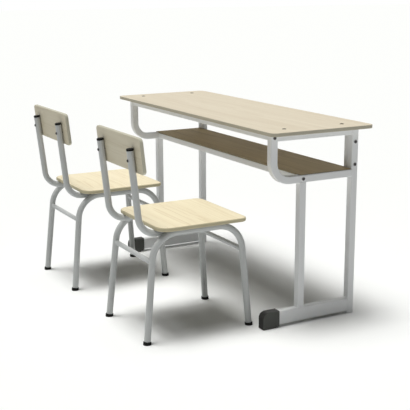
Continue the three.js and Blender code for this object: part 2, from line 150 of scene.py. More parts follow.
floor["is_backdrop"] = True

# The side frames: mild steel tube, 25 mm square with a 1.5 mm wall, cut, bent and welded, then
# powder coated light grey. The side tube runs back under the desktop, turns square at the front,
# and bends forward again to the rear leg at the height of the shelf.
mm = 0.001
quarter = math.pi / 2
crease = math.radians(34)
hands = ((-1, "left"), (1, "right"))


def add_piece(name, shape, finishes, body, slot, *replaced):
    """One finished piece of the set, riding on a body in place of the nodes that it stands for."""
    mesh = bpy.data.meshes.new(name)
    bmesh.ops.recalc_face_normals(shape, faces=shape.faces)
    shape.to_mesh(mesh)
    shape.free()
    mesh.transform(Matrix.Scale(mm, 4))
    for finish in finishes:
        mesh.materials.append(finish)
    mesh.shade_smooth()
    mesh.set_sharp_from_angle(angle=crease)
    piece = bpy.data.objects.new(name, mesh)
    bpy.context.scene.collection.objects.link(piece)
    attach(piece, body)
    if replaced:
        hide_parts(*replaced)


def skin(shape, rings, looped=False, closed=False):
    """Faces between rings of as many points each; a closed skin has a face on each end ring."""
    rows = [[shape.verts.new(point) for point in ring] for ring in rings]
    for near, far in list(zip(rows, rows[1:])) + ([(rows[-1], rows[0])] if looped else []):
        for i in range(len(near)):
            j = (i + 1) % len(near)
            shape.faces.new((near[i], near[j], far[j], far[i]))
    if closed:
        shape.faces.new(rows[0][::-1])
        shape.faces.new(rows[-1])


def rounded_ring(width, height, radius, steps=5, far_radius=None, margin=0.6):
    """Points round a rectangle with rounded corners, and one on the flat beside each end of a
    corner; the two corners on +V take the far radius."""
    far_radius = radius if far_radius is None else far_radius
    points = []
    for turn, (u, v) in enumerate(((1, 1), (-1, 1), (-1, -1), (1, -1))):
        bend = far_radius if v > 0 else radius
        middle_u, middle_v = u * (width / 2 - bend), v * (height / 2 - bend)
        for i in range(-1, steps + 2):
            angle = quarter * (turn + min(max(i, 0), steps) / steps)
            slip = margin if i < 0 else -margin if i > steps else 0
            points.append((middle_u + bend * math.cos(angle) + slip * math.sin(angle),
                           middle_v + bend * math.sin(angle) - slip * math.cos(angle)))
    return points


def bent_path(y, z, heading, *moves, parts=18):
    """A tube's centre line in the YZ plane, each bend in so many parts. A move is a length, a bend
    (angle, radius) or a mitre (angle, 0)."""
    stations = [(y, z, heading, 1)]
    for move in moves:
        if isinstance(move, tuple) and move[1] == 0:
            y, z = stations.pop()[:2]
            stations.append((y, z, heading + move[0] / 2, 1 / math.cos(move[0] / 2)))
            heading += move[0]
        elif isinstance(move, tuple):
            turn, radius = move
            side = math.copysign(quarter, turn)
            centre_y = y + radius * math.cos(heading + side)
            centre_z = z + radius * math.sin(heading + side)
            for _ in range(parts):
                heading += turn / parts
                y = centre_y - radius * math.cos(heading + side)
                z = centre_z - radius * math.sin(heading + side)
                stations.append((y, z, heading, 1))
        else:
            y, z = y + move * math.cos(heading), z + move * math.sin(heading)
            stations.append((y, z, heading, 1))
    return stations


def hollow(shape, stations, outside, inside, place=Matrix()):
    """An open tube along a path: its outside, its far rim, its bore and its near rim."""
    def swept(section):
        return [[place @ Vector((u, y - v * stretch * math.sin(heading),
                                 z + v * stretch * math.cos(heading)))
                 for u, v in section] for y, z, heading, stretch in stations]

    skin(shape, swept(outside) + swept(inside)[::-1], looped=True)


def bar(shape, length, outside, inside, place):
    """A straight tube along Z from the origin of its place."""
    ends = [[place @ Vector((u, v, z)) for u, v in ring]
            for z, ring in ((0, outside), (length, outside), (length, inside), (0, inside))]
    skin(shape, ends, looped=True)


def bead(shape, corners, normal, size=1.3, step=1.5, closed=True, sides=8):
    """A weld bead along a line of points that lies square to the normal, with the ripples of its
    run; the ends of an open one are blunt."""
    corners = [Vector(corner) for corner in corners]
    line = []
    for near, far in zip(corners, corners[1:] + corners[:1] if closed else corners[1:]):
        parts = max(1, round((far - near).length / step))
        line += [near.lerp(far, i / parts) for i in range(parts)]
    angles = [2 * math.pi * k / sides for k in range(sides)]
    rings = []
    last = len(line) - 1
    for i, point in enumerate(line):
        ahead_point = line[(i + 1) % len(line)] if closed or i < last else point
        behind_point = line[i - 1] if closed or i > 0 else point
        across = (ahead_point - behind_point).cross(normal).normalized()
        ripple = 0.16 * math.sin(i * 1.9) + 0.10 * math.sin(i * 0.7 + 1)
        bluntness = 1 if closed else math.sqrt(max(0.05, 1 - (2 * i / last - 1) ** 6))
        swell = size * (1 + ripple) * bluntness
        rings.append([point + swell * (math.cos(angle) * across + math.sin(angle) * normal)
                      for angle in angles])
    skin(shape, rings, looped=closed, closed=not closed)


def shader_group(name, inputs, outputs):
    """An empty node group with its named sockets."""
    group = bpy.data.node_groups.new(name, "ShaderNodeTree")
    for socket, value in inputs.items():
        kinds = {float: "NodeSocketFloat", tuple: "NodeSocketVector"}
        made = group.interface.new_socket(
            socket, in_out="INPUT", socket_type=kinds.get(type(value), "NodeSocketColor"))
        if value is not None:
            made.default_value = value
    for socket in outputs:
        kind = "NodeSocketColor" if socket == "Color" else "NodeSocketFloat"
        group.interface.new_socket(socket, in_out="OUTPUT", socket_type=kind)
    return group, group.nodes.new("NodeGroupInput").outputs, group.nodes.new("NodeGroupOutput").inputs


def grouped_material(name, group, values, bump, depth, metallic=0.0, specular=0.5):
    """A material whose colour, roughness and relief come from a shader group with values of its own."""
    material = bpy.data.materials.new(name)
    material.use_nodes = True
    tree = material.node_tree
    shader = tree.nodes["Principled BSDF"]
    placed = tree.nodes.new("ShaderNodeGroup")
    placed.node_tree = group
    for socket, value in values.items():
        colored = isinstance(value, tuple) and placed.inputs[socket].type == "RGBA"
        placed.inputs[socket].default_value = (*value, 1) if colored else value
    relief = add_node(tree, "ShaderNodeBump", Height=placed.outputs["Height"], Strength=bump, Distance=depth)
    tree.links.new(placed.outputs["Color"], shader.inputs["Base Color"])
    tree.links.new(placed.outputs["Roughness"], shader.inputs["Roughness"])
    tree.links.new(relief.outputs["Normal"], shader.inputs["Normal"])
    shader.inputs["Metallic"].default_value = metallic
    shader.inputs["Specular IOR Level"].default_value = specular
    return material


# Slow changes of tone and a fine skin, for the paint, the plastic and the plated steel
surface_skin, given, made = shader_group(
    "surface_skin",
    {"Color": None, "Tone": 0.04, "Skin Scale": 900.0, "Roughness": 0.4, "Roughness Spread": 0.06},
    ("Color", "Roughness", "Height"))
spot = surface_skin.nodes.new("ShaderNodeTexCoord").outputs["Object"]
cloud = add_node(surface_skin, "ShaderNodeTexNoise", Vector=spot, Scale=7.0, Detail=3.0, Roughness=0.6)
fine = add_node(surface_skin, "ShaderNodeTexNoise", Vector=spot, Scale=given["Skin Scale"], Detail=2.0)
centred = add_node(surface_skin, "ShaderNodeMath", operation="SUBTRACT", slot0=cloud.outputs["Fac"],
                   slot1=0.5)
swing = add_node(surface_skin, "ShaderNodeMath", operation="MULTIPLY_ADD",
                 slot0=centred.outputs[0], slot1=given["Tone"], slot2=1.0)
toned = add_node(surface_skin, "ShaderNodeVectorMath", operation="SCALE", slot0=given["Color"],
                 Scale=swing.outputs[0])
rough = add_node(surface_skin, "ShaderNodeMath", operation="MULTIPLY_ADD", slot0=centred.outputs[0],
                 slot1=given["Roughness Spread"], slot2=given["Roughness"])
surface_skin.links.new(toned.outputs[0], made["Color"])
surface_skin.links.new(rough.outputs[0], made["Roughness"])
surface_skin.links.new(fine.outputs["Fac"], made["Height"])

desk_coat = grouped_material(
    "desk_powder_coat", surface_skin,
    {"Color": (0.84, 0.85, 0.84), "Tone": 0.08, "Skin Scale": 1100.0, "Roughness": 0.42,
     "Roughness Spread": 0.12}, 0.25, 0.0002)

tube, tube_wall, tube_corner, bore_corner = 25, 1.5, 2.5, 1.2
tube_outside = rounded_ring(tube, tube, tube_corner)
tube_inside = rounded_ring(tube - 2 * tube_wall, tube - 2 * tube_wall, bore_corner)
desk_y = set_middle / mm
frame_x, frame_top = 532.5, 654
frame_front, leg_front = desk_y - 170, desk_y + 151
rear_leg_y, front_leg_y = leg_front + tube / 2, desk_y - 44.5
top_tube_z, shelf_tube_z, frame_bend = frame_top - tube / 2, 498, 60
foot_top, foot_bottom, foot_front, foot_corner = 56, 9, frame_front - 2.5, 4.5
foot_height, foot_middle = foot_top - foot_bottom, (foot_top + foot_bottom) / 2
leg_plate = (0.2, 3)
side_run = leg_front - frame_front - tube / 2
weld_steps = 2
along_y = Matrix.Rotation(-quarter, 4, "X")
for side, word in hands:
    x = side * frame_x

    shape = bmesh.new()
    path = bent_path(leg_front, top_tube_z, math.pi, side_run, (quarter, 0),
                     top_tube_z - shelf_tube_z - frame_bend, (quarter, frame_bend), side_run - frame_bend)
    hollow(shape, path, tube_outside, tube_inside, Matrix.Translation((x, 0, 0)))
    add_piece(f"{word}_bent_side_tube", shape, [desk_coat], "desk", "frame", f"{word}_side_tube")

    shape = bmesh.new()
    stand = Matrix.Translation((x, rear_leg_y, 0))
    bar(shape, frame_top, tube_outside, tube_inside, stand)
    skin(shape, [[stand @ Vector((u, v, z)) for u, v in tube_inside] for z in leg_plate], closed=True)
    add_piece(f"{word}_rear_post", shape, [desk_coat], "desk", "frame", f"{word}_rear_leg")

    shape = bmesh.new()
    bar(shape, shelf_tube_z - tube / 2 - foot_top, tube_outside, tube_inside,
        Matrix.Translation((x, front_leg_y, foot_top)))
    add_piece(f"{word}_front_post", shape, [desk_coat], "desk", "frame", f"{word}_front_leg")

    shape = bmesh.new()
    bar(shape, leg_front - foot_front, rounded_ring(tube, foot_height, foot_corner),
        rounded_ring(tube - 2 * tube_wall, foot_height - 2 * tube_wall, foot_corner - tube_wall),
        Matrix.Translation((x, foot_front, foot_middle)) @ along_y)
    add_piece(f"{word}_foot_bar", shape, [desk_coat], "desk", "frame", f"{word}_foot_tube")

    # The welds that join the tubes, coated over with them
    shape = bmesh.new()
    for z, height, corner in ((top_tube_z, tube, tube_corner), (shelf_tube_z, tube, tube_corner),
                              (foot_middle, foot_height, foot_corner)):
        outline = rounded_ring(tube, height, corner, weld_steps)
        bead(shape, [(x + u, leg_front, z + v) for u, v in outline], Vector((0, 1, 0)))
    for z in (foot_top, shelf_tube_z - tube / 2):
        outline = rounded_ring(tube, tube, tube_corner, weld_steps)
        bead(shape, [(x + u, front_leg_y + v, z) for u, v in outline], Vector((0, 0, 1)))
    add_piece(f"{word}_frame_welds", shape, [desk_coat], "desk", "frame")

# The foot caps: thick moulded shoes of charcoal plastic, pushed over the front end of each foot
# tube. The nose is solid with a well rounded top, and a sole keeps the steel clear of the floor.
# The top and front of each shoe take a darker, smoother copy of the plastic than its sides; the
# darker colour there is painted shade.
charcoal = grouped_material(
    "charcoal_plastic", surface_skin,
    {"Color": (0.070, 0.073, 0.064), "Tone": 0.25, "Skin Scale": 1500.0, "Roughness": 0.55,
     "Roughness Spread": 0.15}, 0.4, 0.0002, specular=0.3)
# A darker copy of the charcoal plastic for the shoes' tops and fronts: painted shade
painted_shade_charcoal = grouped_material(
    "painted_shade_charcoal_plastic", surface_skin,
    {"Color": (0.030, 0.030, 0.027), "Tone": 0.3, "Skin Scale": 1500.0, "Roughness": 0.5,
     "Roughness Spread": 0.15}, 0.3, 0.0002, specular=0.12)
nose_reach, socket_play = 22, 0.3
nose = foot_front - socket_play - nose_reach
cap_half, cap_top, cap_length, sole_length, sole_rise = 15.3, foot_top + 2.5, 64, 49, 6
nose_bend, toe_bend, cap_edge, mouth_edge, socket_corner = 22, 3, 1.6, 0.9, 2.5
cap_steps, corner_steps, flat_margin, merging = 12, 4, 0.4, 0.001


def rounding(distance, bend):
    """How far a rounded end still falls short of full size at a distance from its tip."""
    return bend - math.sqrt(bend ** 2 - max(0, bend - distance) ** 2)


nose_steps = [nose_bend * (1 - math.cos(quarter * k / cap_steps)) for k in range(2, cap_steps + 1)]
cap_sections = [(reach, rounding(reach, toe_bend), rounding(reach, nose_bend), rounding(reach, cap_edge))
                for reach in [0, 0.1, 0.3] + nose_steps + [sole_length - 1, sole_length]]
cap_sections += [(reach, sole_rise + inset / 2, inset, inset) for reach, inset in (
    (sole_length, 0), (sole_length + 1, 0), (cap_length - 1, 0), (cap_length - 0.3, 0.3),
    (cap_length, mouth_edge))]
socket = rounded_ring(tube + 2 * socket_play, foot_height + 2 * socket_play, socket_corner, corner_steps,
                      margin=flat_margin)
for side, word in hands:
    x = side * frame_x
    rings = []
    for reach, low, fall, narrow in cap_sections:
        outline = rounded_ring(2 * (cap_half - narrow), cap_top - fall - low, cap_edge, corner_steps,
                               margin=flat_margin)
        rings.append([(x + u, nose + reach, (cap_top - fall + low) / 2 + v) for u, v in outline])
    for reach in (cap_length, nose_reach):
        rings.append([(x + u, nose + reach, foot_middle + v) for u, v in socket])
    shape = bmesh.new()
    skin(shape, rings, closed=True)
    bmesh.ops.remove_doubles(shape, verts=shape.verts, dist=merging)
    bmesh.ops.recalc_face_normals(shape, faces=shape.faces)
    for face in shape.faces:
        # Faces that do not look sideways get the darker copy, painted shade on the top and front
        face.material_index = 0 if abs(face.normal.x) > 0.7 else 1
    add_piece(f"{word}_shoe", shape, [charcoal, painted_shade_charcoal], "desk", "foot_cap", f"{word}_foot_cap")

# The rails: 20 mm square tube. One runs under the front of the desktop, one under the front of the
# shelf, and the rear frame is two posts with a rail at each end.
rail, rail_wall, rail_corner, rail_bore_corner, rail_weld = 20, 1.5, 2, 1, 1.1
frame_inside = 520
post_x, post_y = frame_inside - rail / 2, leg_front + rail / 2
rail_outside = rounded_ring(rail, rail, rail_corner)
rail_inside = rounded_ring(rail - 2 * rail_wall, rail - 2 * rail_wall, rail_bore_corner)
rail_seam = rounded_ring(rail, rail, rail_corner, weld_steps)
along_x = Matrix.Rotation(quarter, 4, "Y")


def crossing(shape, half, y, z):
    """A rail from side to side."""
    bar(shape, 2 * half, rail_outside, rail_inside, Matrix.Translation((-half, y, z)) @ along_x)


shape = bmesh.new()
crossing(shape, frame_inside, frame_front + tube / 2, top_tube_z)
add_piece("front_rail", shape, [desk_coat], "desk", "frame", "front_top_rail")

shape = bmesh.new()
crossing(shape, frame_inside, front_leg_y, shelf_tube_z)
add_piece("shelf_rail", shape, [desk_coat], "desk", "frame", "front_shelf_rail")

shape = bmesh.new()
for z in (top_tube_z, shelf_tube_z):
    crossing(shape, frame_inside - rail, post_y, z)
for side in (-1, 1):
    bar(shape, top_tube_z - shelf_tube_z + rail, rail_outside, rail_inside,
        Matrix.Translation((side * post_x, post_y, shelf_tube_z - rail / 2)))
    for z in (top_tube_z, shelf_tube_z):
        bead(shape, [(side * (frame_inside - rail), post_y + u, z + v) for u, v in rail_seam],
             Vector((1, 0, 0)), rail_weld)
add_piece("welded_rear_frame", shape, [desk_coat], "desk", "frame", "rear_frame")

# The frame bolts: dark plated button heads with a hexagon socket, each on a thin bright washer.
# They go through the side frames into nuts that are welded into the rails and posts.
dark_plate = grouped_material(
    "dark_plating", surface_skin,
    {"Color": (0.055, 0.052, 0.05), "Tone": 0.3, "Skin Scale": 2500.0, "Roughness": 0.38,
     "Roughness Spread": 0.2}, 0.15, 0.0001, metallic=0.7)
bright_plate = grouped_material(
    "bright_plating", surface_skin,
    {"Color": (0.52, 0.52, 0.51), "Tone": 0.2, "Skin Scale": 2500.0, "Roughness": 0.34,
     "Roughness Spread": 0.2}, 0.15, 0.0001, metallic=0.9)


def socket_radius(form, angle, size):
    """The radius of a round, hexagonal or crossed outline at an angle."""
    if form == "hexagon":
        return size / math.cos((angle + math.pi / 6) % (math.pi / 3) - math.pi / 6)
    if form == "cross":
        return size * (0.36 + 0.64 * max(0, math.cos(4 * angle)) ** 0.5)
    return size


def turned(shape, profile, place, sides=24):
    """A turned piece on the Z axis of its place; a step of its profile is (outline, size, height)."""
    rings = []
    for form, size, height in profile:
        ring = []
        for i in range(sides):
            angle = 2 * math.pi * i / sides
            radius = socket_radius(form, angle, size)
            ring.append(place @ Vector((radius * math.cos(angle), radius * math.sin(angle), height)))
        rings.append(ring)
    skin(shape, rings, closed=True)


def button_head(size, height, seat, shank, length, rim=0.5, parts=5):
    """The profile of a bolt with a domed head and a hexagon socket, from the tip of its shank up."""
    dome_share, flat_share, socket_share, mouth_share = 0.8, 0.12, 0.4, 1.35
    profile = [("round", shank, -length), ("round", shank, seat), ("round", size, seat),
               ("round", size, seat + rim)]
    for k in range(1, parts + 1):
        rise = quarter * k / parts * dome_share
        profile.append(("round", size * (flat_share + (1 - flat_share) * math.cos(rise)),
                        seat + rim + (height - rim) * math.sin(rise)))
    top, socket = seat + height, size * socket_share
    return profile + [("round", socket * mouth_share, top), ("hexagon", socket, top - 0.15),
                      ("hexagon", socket * 0.97, top - height * 0.55), ("hexagon", 0.1, top - height * 0.62)]


frame_outside = frame_x + tube / 2
bolt_head, bolt_rise, bolt_shank, bolt_length = 5.5, 3.5, 3, 42
washer, washer_hole, washer_rim, washer_ease, under_gap, over_gap = 1, 3.1, 7, 0.2, 0.05, 0.02
bolt_profile = button_head(bolt_head, bolt_rise - washer, washer, bolt_shank, bolt_length)
washer_profile = [("round", washer_hole, under_gap), ("round", washer_rim, under_gap),
                  ("round", washer_rim, washer - washer_ease),
                  ("round", washer_rim - washer_ease, washer - over_gap),
                  ("round", washer_hole, washer - over_gap)]
upper_bolt_z, lower_bolt_z = 604, 527
bolt_places = {"top_rail": (frame_front + tube / 2, top_tube_z), "shelf_rail": (front_leg_y, shelf_tube_z),
               "upper_post": (rear_leg_y, upper_bolt_z), "lower_post": (rear_leg_y, lower_bolt_z)}
for side, word in hands:
    for place, (y, z) in bolt_places.items():
        outward = Matrix.Translation((side * frame_outside, y, z)) @ Matrix.Rotation(side * quarter, 4, "Y")
        shape = bmesh.new()
        turned(shape, bolt_profile, outward)
        bolt_faces = len(shape.faces)
        turned(shape, washer_profile, outward)
        shape.faces.ensure_lookup_table()
        for face in shape.faces[bolt_faces:]:
            face.material_index = 1
        add_piece(f"{word}_{place}_button_bolt", shape, [dark_plate, bright_plate], "desk", "fastener",
                  f"{word}_{place}_bolt")

# The shelf: a thin plywood board with a plain brown face, laid on both rails. It reaches between
# the rear posts, and its ends are thinned where they lie on the side tubes. The edges are bare.
board_grain, given, made = shader_group(
    "board_grain",
    {"Color": None, "Line Color": None, "Streaks": 0.4, "Lines": 0.5, "Pores": 0.3, "Roughness": 0.45},
    ("Color", "Roughness", "Height"))
spot = board_grain.nodes.new("ShaderNodeTexCoord").outputs["Object"]
slow = add_node(board_grain, "ShaderNodeVectorMath", operation="MULTIPLY", slot0=spot, slot1=(2.6, 5.0, 5.0))
drift = add_node(board_grain, "ShaderNodeTexNoise", Vector=slow.outputs[0], Scale=1.0, Detail=1.0)
drifted = add_node(board_grain, "ShaderNodeVectorMath", operation="MULTIPLY_ADD",
                   slot0=drift.outputs["Color"], slot1=(0.0, 0.05, 0.05), slot2=spot)


def grain_layer(stretch, detail, low, high):
    """A noise drawn out along X, as a mask from 0 to 1 between two of its levels."""
    drawn = add_node(board_grain, "ShaderNodeVectorMath", operation="MULTIPLY", slot0=drifted.outputs[0],
                     slot1=stretch)
    noise = add_node(board_grain, "ShaderNodeTexNoise", Vector=drawn.outputs[0], Scale=1.0, Detail=detail)
    return add_node(board_grain, "ShaderNodeMapRange", Value=noise.outputs["Fac"], From_Min=low,
                    From_Max=high).outputs["Result"]


layers = {"Streaks": grain_layer((1.3, 34.0, 34.0), 2.0, 0.32, 0.72),
          "Lines": grain_layer((1.7, 150.0, 150.0), 1.5, 0.52, 0.72),
          "Pores": grain_layer((34.0, 1500.0, 1500.0), 1.0, 0.55, 0.80)}
total = 0.0
for weight, layer in layers.items():
    total = add_node(board_grain, "ShaderNodeMath", operation="MULTIPLY_ADD", slot0=layer,
                     slot1=given[weight], slot2=total).outputs[0]
mixed = add_node(board_grain, "ShaderNodeMix", data_type="RGBA", Factor=total, A=given["Color"],
                 B=given["Line Color"])
rough = add_node(board_grain, "ShaderNodeMath", operation="MULTIPLY_ADD", slot0=layers["Pores"], slot1=0.12,
                 slot2=given["Roughness"])
hollowed = add_node(board_grain, "ShaderNodeMath", operation="SUBTRACT", slot0=1.0, slot1=total)
board_grain.links.new(mixed.outputs["Result"], made["Color"])
board_grain.links.new(rough.outputs[0], made["Roughness"])
board_grain.links.new(hollowed.outputs[0], made["Height"])

# The bare edge of plywood: veneers by turns along and across the grain
ply_edge, given, made = shader_group(
    "ply_edge",
    {"Color": None, "End Grain Color": None, "Lay Up": (0.0, 0.0, 1.0), "Veneer": 0.0015, "Roughness": 0.6},
    ("Color", "Roughness", "Height"))
spot = ply_edge.nodes.new("ShaderNodeTexCoord").outputs["Object"]
depth = add_node(ply_edge, "ShaderNodeVectorMath", operation="DOT_PRODUCT", slot0=spot,
                 slot1=given["Lay Up"])
wobble = add_node(ply_edge, "ShaderNodeTexNoise", Vector=spot, Scale=30.0, Detail=2.0)
shifted = add_node(ply_edge, "ShaderNodeMath", operation="MULTIPLY_ADD", slot0=wobble.outputs["Fac"],
                   slot1=0.0006, slot2=depth.outputs["Value"])
veneer = add_node(ply_edge, "ShaderNodeMath", operation="PINGPONG", slot0=shifted.outputs[0],
                  slot1=given["Veneer"])
share = add_node(ply_edge, "ShaderNodeMath", operation="DIVIDE", slot0=veneer.outputs[0],
                 slot1=given["Veneer"])
band = add_node(ply_edge, "ShaderNodeMapRange", Value=share.outputs[0], From_Min=0.35, From_Max=0.65)
fibres = add_node(ply_edge, "ShaderNodeTexNoise", Vector=spot, Scale=900.0, Detail=2.0)
rubbed = add_node(ply_edge, "ShaderNodeMath", operation="MULTIPLY", slot0=band.outputs["Result"],
                  slot1=fibres.outputs["Fac"])
tint = add_node(ply_edge, "ShaderNodeMix", data_type="RGBA", Factor=rubbed.outputs[0], A=given["Color"],
                B=given["End Grain Color"])
rough = add_node(ply_edge, "ShaderNodeMath", operation="MULTIPLY_ADD", slot0=fibres.outputs["Fac"],
                 slot1=0.15, slot2=given["Roughness"])
ply_edge.links.new(tint.outputs["Result"], made["Color"])
ply_edge.links.new(rough.outputs[0], made["Roughness"])
ply_edge.links.new(rubbed.outputs[0], made["Height"])

shelf_face = grouped_material(
    "shelf_veneer", board_grain,
    {"Color": (0.72, 0.575, 0.345), "Line Color": (0.49, 0.37, 0.20), "Streaks": 0.45,
     "Lines": 0.35, "Pores": 0.3, "Roughness": 0.6}, 0.2, 0.0002, specular=0.12)
shelf_edge = grouped_material(
    "shelf_ply_edge", ply_edge,
    {"Color": (0.36, 0.30, 0.19), "End Grain Color": (0.17, 0.13, 0.08)}, 0.3, 0.0002)
backing = grouped_material(
    "backing_veneer", board_grain,
    {"Color": (0.76, 0.74, 0.67), "Line Color": (0.62, 0.58, 0.50), "Streaks": 0.3,
     "Lines": 0.3, "Pores": 0.3, "Roughness": 0.7}, 0.25, 0.0002, specular=0.12)


def name_finishes(shape, level=0.9):
    """Give a board's upper side its face, its lower side its backing and the rest its edge."""
    shape.normal_update()
    for face in shape.faces:
        face.material_index = 0 if face.normal.z > level else 2 if face.normal.z < -level else 1


shelf_half, shelf_thickness, shelf_arris = 543, 4.5, 0.6
front_inset, rear_bearing, play, step = 0.5, 7, 0.5, 0.1
shelf_under, lap_under = shelf_tube_z + rail / 2, shelf_tube_z + tube / 2
shelf_top = shelf_under + shelf_thickness
shelf_front, shelf_rear = front_leg_y - rail / 2 + front_inset, leg_front - play
lap_end, post_end = frame_inside - play, frame_inside - rail - play
rings = []
for x, rear, under, inset in (
        (shelf_half, shelf_rear, lap_under, shelf_arris),
        (shelf_half - shelf_arris, shelf_rear, lap_under, 0),
        (lap_end, shelf_rear, lap_under, 0), (lap_end - step, shelf_rear, shelf_under, 0),
        (post_end, shelf_rear, shelf_under, 0),
        (post_end - step, leg_front + rear_bearing, shelf_under, 0)):
    outline = rounded_ring(rear - shelf_front - 2 * inset, shelf_top - under - 2 * inset,
                           shelf_arris - 0.8 * inset, corner_steps, margin=0.2)
    middle_y, middle_z = (rear + shelf_front) / 2, (shelf_top + under) / 2
    rings.append([(x, middle_y + u, middle_z + v) for u, v in outline])
rings = [[(-x, y, z) for x, y, z in ring] for ring in rings] + rings[::-1]
shape = bmesh.new()
skin(shape, rings, closed=True)
bmesh.ops.recalc_face_normals(shape, faces=shape.faces)
name_finishes(shape)
add_piece("shelf_panel", shape, [shelf_face, shelf_edge, backing], "desk", "desk_board", "shelf_board")

# The desktop: a 12 mm plywood board with a pale lengthwise grain, its corners rounded and its
# arrises eased, under a satin lacquer. Four black screws with raised heads hold it.
desktop_face = grouped_material(
    "desktop_veneer", board_grain,
    {"Color": (0.70, 0.625, 0.475), "Line Color": (0.53, 0.43, 0.29), "Streaks": 0.30,
     "Lines": 0.22, "Pores": 0.25, "Roughness": 0.5}, 0.15, 0.0002, specular=0.25)
desktop_backing = grouped_material(
    "desktop_backing_veneer", board_grain,
    {"Color": (0.46, 0.445, 0.41), "Line Color": (0.38, 0.36, 0.32), "Streaks": 0.3,
     "Lines": 0.3, "Pores": 0.3, "Roughness": 0.7}, 0.25, 0.0002, specular=0.12)
desktop_edge = grouped_material(
    "desktop_ply_edge", ply_edge,
    {"Color": (0.55, 0.51, 0.40), "End Grain Color": (0.30, 0.27, 0.19)}, 0.3, 0.0002)


def board(width, depth, thickness, radius, far_radius, arris, steps=8, parts=4):
    """A board centred on its own middle, with eased arrises and a narrow border on each face; its
    finishes are face, edge and underside."""
    border, sharpest = 1.5, 0.05
    levels = [(arris + border, -thickness / 2)]
    for k in range(parts + 1):
        turn = quarter * k / parts
        levels.append((arris * (1 - math.sin(turn)), arris * (1 - math.cos(turn)) - thickness / 2))
    levels += [(inset, -height) for inset, height in levels[::-1]]
    rings = []
    for inset, height in levels:
        ring = rounded_ring(width - 2 * inset, depth - 2 * inset, max(radius - inset, sharpest), steps,
                            max(far_radius - inset, sharpest), 0)
        rings.append([(u, v, height) for u, v in ring])
    shape = bmesh.new()
    skin(shape, rings, closed=True)
    bmesh.ops.remove_doubles(shape, verts=shape.verts, dist=merging)
    bmesh.ops.recalc_face_normals(shape, faces=shape.faces)
    name_finishes(shape)
    return shape


def shift(shape, place):
    """The same shape, taken to its place."""
    bmesh.ops.transform(shape, matrix=place, verts=shape.verts)
    return shape


def cut(shape, tool):
    """The shape with the tool's solid taken out of it."""
    solids = []
    for source in (shape, tool):
        mesh = bpy.data.meshes.new("cutting")
        bmesh.ops.recalc_face_normals(source, faces=source.faces)
        source.to_mesh(mesh)
        source.free()
        solids.append(bpy.data.objects.new("cutting", mesh))
        bpy.context.scene.collection.objects.link(solids[-1])
    modifier = solids[0].modifiers.new("cut", "BOOLEAN")
    modifier.operation = "DIFFERENCE"
    modifier.solver = "EXACT"
    modifier.object = solids[1]
    result = bmesh.new()
    result.from_object(solids[0], bpy.context.evaluated_depsgraph_get())
    for solid in solids:
        mesh = solid.data
        bpy.data.objects.remove(solid)
        bpy.data.meshes.remove(mesh)
    return result


black_oxide = grouped_material(
    "black_oxide", surface_skin,
    {"Color": (0.014, 0.013, 0.012), "Tone": 0.3, "Skin Scale": 2500.0, "Roughness": 0.6,
     "Roughness Spread": 0.2}, 0.2, 0.0001, specular=0.02)
desktop_length, desktop_width, desktop_thickness, desk_height = 1200, 400, 12, 666
desktop_corner, desktop_arris, desktop_steps, round_sides = 22, 1.6, 10, 32
screw_y, screw_head, sink, screw_shank, screw_length = 114, 7, 3.5, 2.5, 20
drilled, sunk, overrun = screw_shank + 0.4, screw_head + 0.5, 2
shape = shift(board(desktop_length, desktop_width, desktop_thickness, desktop_corner, desktop_corner,
                    desktop_arris, desktop_steps),
              Matrix.Translation((0, desk_y, desk_height - desktop_thickness / 2)))
screw_places = [(f"{word}_{row}", side * frame_x, desk_y + y) for side, word in hands
                for row, y in (("front", -screw_y), ("rear", screw_y))]
countersinks = bmesh.new()
for _, x, y in screw_places:
    turned(countersinks, [("round", drilled, -desktop_thickness - overrun), ("round", drilled, -sink),
                          ("round", sunk, 0), ("round", sunk, overrun)],
           Matrix.Translation((x, y, desk_height)), round_sides)
shape = cut(shape, countersinks)
add_piece("desktop_panel", shape, [desktop_face, desktop_edge, desktop_backing], "desk", "desk_board",
          "desktop")

# From the tip of the shank, round a low domed head and down into its crossed recess
screw_profile = [("round", screw_shank, -screw_length), ("round", screw_shank, -sink),
                 ("round", screw_head, -0.2), ("round", screw_head, 0.1), ("round", screw_head - 0.8, 0.6),
                 ("round", screw_head - 2, 1.05), ("round", 3.6, 1.25), ("cross", 3.1, 1.15),
                 ("cross", 2.7, -0.4), ("cross", 0.3, -1.0)]
for name, x, y in screw_places:
    shape = bmesh.new()
    turned(shape, screw_profile, Matrix.Translation((x, y, desk_height)), round_sides)
    add_piece(f"{name}_sunk_screw", shape, [black_oxide], "desk", "fastener", f"{name}_desktop_screw")

# The chair frames: round tube, 22 mm with a 1.5 mm wall, in a darker grey coat. Each side has a
# loop that is both legs and the run under the seat, and an upright that starts beside that run,
# turns up behind the seat and leans back. Two thinner crossbars join the loops.
chair_coat = grouped_material(
    "chair_powder_coat", surface_skin,
    {"Color": (0.54, 0.555, 0.54), "Tone": 0.08, "Skin Scale": 1100.0, "Roughness": 0.40,
     "Roughness Spread": 0.12}, 0.25, 0.0002)


def round_ring(radius, sides=round_sides):
    """Points round a circle."""
    return [(radius * math.cos(2 * math.pi * i / sides), radius * math.sin(2 * math.pi * i / sides))
            for i in range(sides)]


chair_tube, chair_wall, seam = 11, 1.5, 0.3
seat_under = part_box("left_chair_seat")[0].z / mm
run_z = seat_under - seam - chair_tube
upright_x, loop_x, foot_x = 118, 140.3, 154
splay = math.atan2(foot_x - loop_x, run_z)
loop_drop = run_z / math.cos(splay)
loop_bend, rear_foot, front_foot, rear_bend, front_bend = 88, 206, 172, 90, 63


def leg_line(foot, bend):
    """The lean of a leg from its foot to where it meets the bend of its loop, and its length."""
    across, up = foot - bend, loop_drop - loop_bend
    distance = math.hypot(across, up)
    lean = math.acos(loop_bend / distance) - math.atan2(up, across)
    return lean, math.sqrt(distance ** 2 - loop_bend ** 2)


